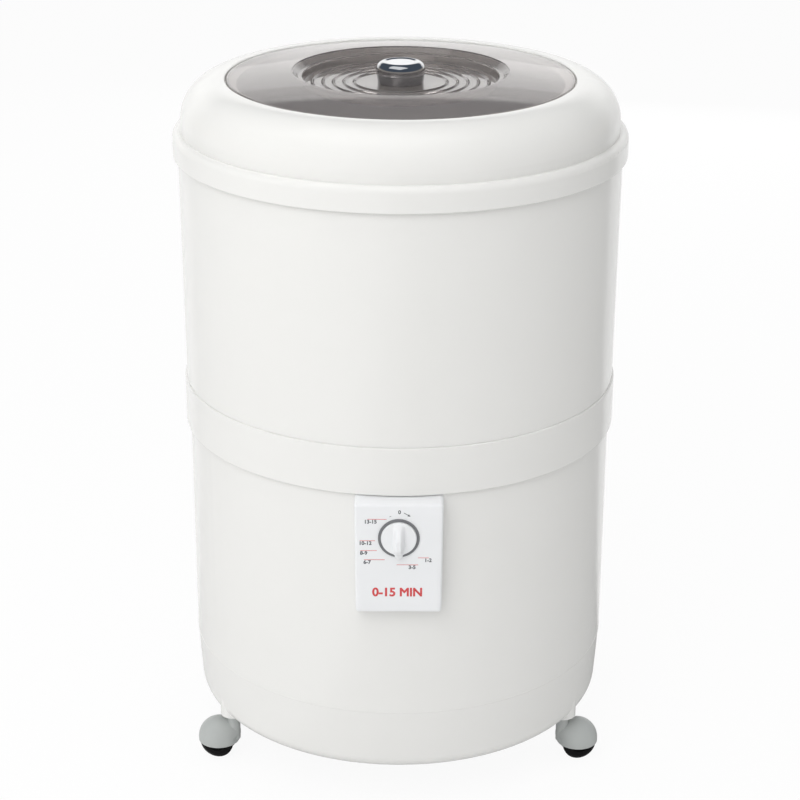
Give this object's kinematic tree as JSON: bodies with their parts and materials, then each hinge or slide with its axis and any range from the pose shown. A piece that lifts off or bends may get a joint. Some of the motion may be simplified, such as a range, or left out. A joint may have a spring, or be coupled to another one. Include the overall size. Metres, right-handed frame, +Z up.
{
  "type": "semi-automatic washing machine",
  "caption": "Round single-tub semi-automatic washing machine with a smoked lift-off lid, a wind-up timer knob, a belt-driven pulsator and hooded swivel casters.",
  "frame": {"origin": "on the floor under the drum's axis, midway between the knob's front and the drain's end", "axes": "+Z up along the drum's axis; -Y to the front, where the control panel is"},
  "size_m": [0.46, 0.5024, 0.7385],
  "materials": {
    "casing_white": "satin",
    "panel_white": "satin",
    "dial_grey": "satin",
    "lid_smoke": "clear smoked",
    "knob_chrome": "polished",
    "tub_white": "satin",
    "pulsator_grey": "satin",
    "caster_grey": "satin",
    "wheel_black": "matt",
    "bright_steel": "plated",
    "cast_alloy": "as cast",
    "black_rubber": "matt",
    "drain_grey": "satin",
    "motor_steel": "varnished",
    "fan_black": "matt",
    "capacitor_white": "matt",
    "timer_ivory": "matt",
    "pan_zinc": "zinc coated"
  },
  "bodies": {
    "cabinet": {"base_shell": "casing_white", "joining_band": "casing_white", "upper_shell": "casing_white", "top_collar": "casing_white", "control_panel": "panel_white", "dial_ring": "dial_grey", "wash_tub": "tub_white", "caster_sockets": "caster_grey", "base_pan_screws": "bright_steel", "band_screws": "bright_steel", "collar_screws": "bright_steel", "panel_screws": "bright_steel", "housing_screws": "bright_steel", "motor_bolts": "bright_steel", "upper_bearing": "bright_steel", "lower_bearing": "bright_steel", "capacitor_clip": "bright_steel", "bearing_housing": "cast_alloy", "motor_top_bell": "cast_alloy", "motor_bottom_bell": "cast_alloy", "tub_gasket": "black_rubber", "shaft_seal": "black_rubber", "drive_belt": "black_rubber", "motor_mounts": "black_rubber", "drain_strainer": "drain_grey", "drain_tube": "drain_grey", "drain_spigot": "drain_grey", "drain_nut": "drain_grey", "cord_gland": "drain_grey", "motor_housing": "motor_steel", "capacitor": "capacitor_white", "timer_body": "timer_ivory", "base_pan": "pan_zinc"},
    "lid": {"lid": "lid_smoke", "lid_knob": "knob_chrome", "lid_knob_screw": "bright_steel"},
    "timer": {"timer_knob": "panel_white", "timer_shaft": "bright_steel"},
    "pulsator": {"pulsator": "pulsator_grey", "pulsator_screw": "bright_steel", "drive_shaft": "bright_steel", "driven_pulley": "cast_alloy", "pulley_nut": "bright_steel"},
    "rotor": {"motor_shaft": "bright_steel", "rotor_core": "motor_steel", "motor_pulley": "cast_alloy", "cooling_fan": "fan_black"},
    "caster_left": {"caster_hood_left": "caster_grey", "caster_stem_left": "bright_steel", "caster_axle_left": "bright_steel"},
    "wheels_left": {"caster_wheel_left": "wheel_black"},
    "caster_right": {"caster_hood_right": "caster_grey", "caster_stem_right": "bright_steel", "caster_axle_right": "bright_steel"},
    "wheels_right": {"caster_wheel_right": "wheel_black"},
    "caster_rear": {"caster_hood_rear": "caster_grey", "caster_stem_rear": "bright_steel", "caster_axle_rear": "bright_steel"},
    "wheels_rear": {"caster_wheel_rear": "wheel_black"}
  },
  "joints": [
    {"name": "lid_lift", "type": "slide", "parent": "cabinet", "child": "lid", "axis": [0, 0, 1], "range_m": [0, 0.25]},
    {"name": "timer_turn", "type": "hinge", "parent": "cabinet", "child": "timer", "pos_m": [0, -0.2365, 0.3245], "axis": [0, 1, 0], "range_deg": [-180, 150]},
    {"name": "pulsator_spin", "type": "hinge", "parent": "cabinet", "child": "pulsator", "pos_m": [0, 0, 0.35], "axis": [0, 0, 1], "continuous": true},
    {"name": "rotor_spin", "type": "hinge", "parent": "cabinet", "child": "rotor", "pos_m": [-0.124, 0, 0.15], "axis": [0, 0, 1], "continuous": true},
    {"name": "caster_swivel_left", "type": "hinge", "parent": "cabinet", "child": "caster_left", "pos_m": [-0.17667, -0.102, 0.0516], "axis": [0, 0, 1], "continuous": true},
    {"name": "wheel_roll_left", "type": "hinge", "parent": "caster_left", "child": "wheels_left", "pos_m": [-0.19365, -0.09777, 0.018], "axis": [-0.2419, -0.9703, 0], "continuous": true},
    {"name": "caster_swivel_right", "type": "hinge", "parent": "cabinet", "child": "caster_right", "pos_m": [0.17667, -0.102, 0.0516], "axis": [0, 0, 1], "continuous": true},
    {"name": "wheel_roll_right", "type": "hinge", "parent": "caster_right", "child": "wheels_right", "pos_m": [0.19365, -0.09777, 0.018], "axis": [-0.2419, 0.9703, 0], "continuous": true},
    {"name": "caster_swivel_rear", "type": "hinge", "parent": "cabinet", "child": "caster_rear", "pos_m": [0, 0.204, 0.0516], "axis": [0, 0, 1], "continuous": true},
    {"name": "wheel_roll_rear", "type": "hinge", "parent": "caster_rear", "child": "wheels_rear", "pos_m": [0, 0.2215, 0.018], "axis": [-1, 0, 0], "continuous": true}
  ],
  "couplings": [
    {"joint": "rotor_spin", "follows": "pulsator_spin", "ratio": 3.8571}
  ]
}
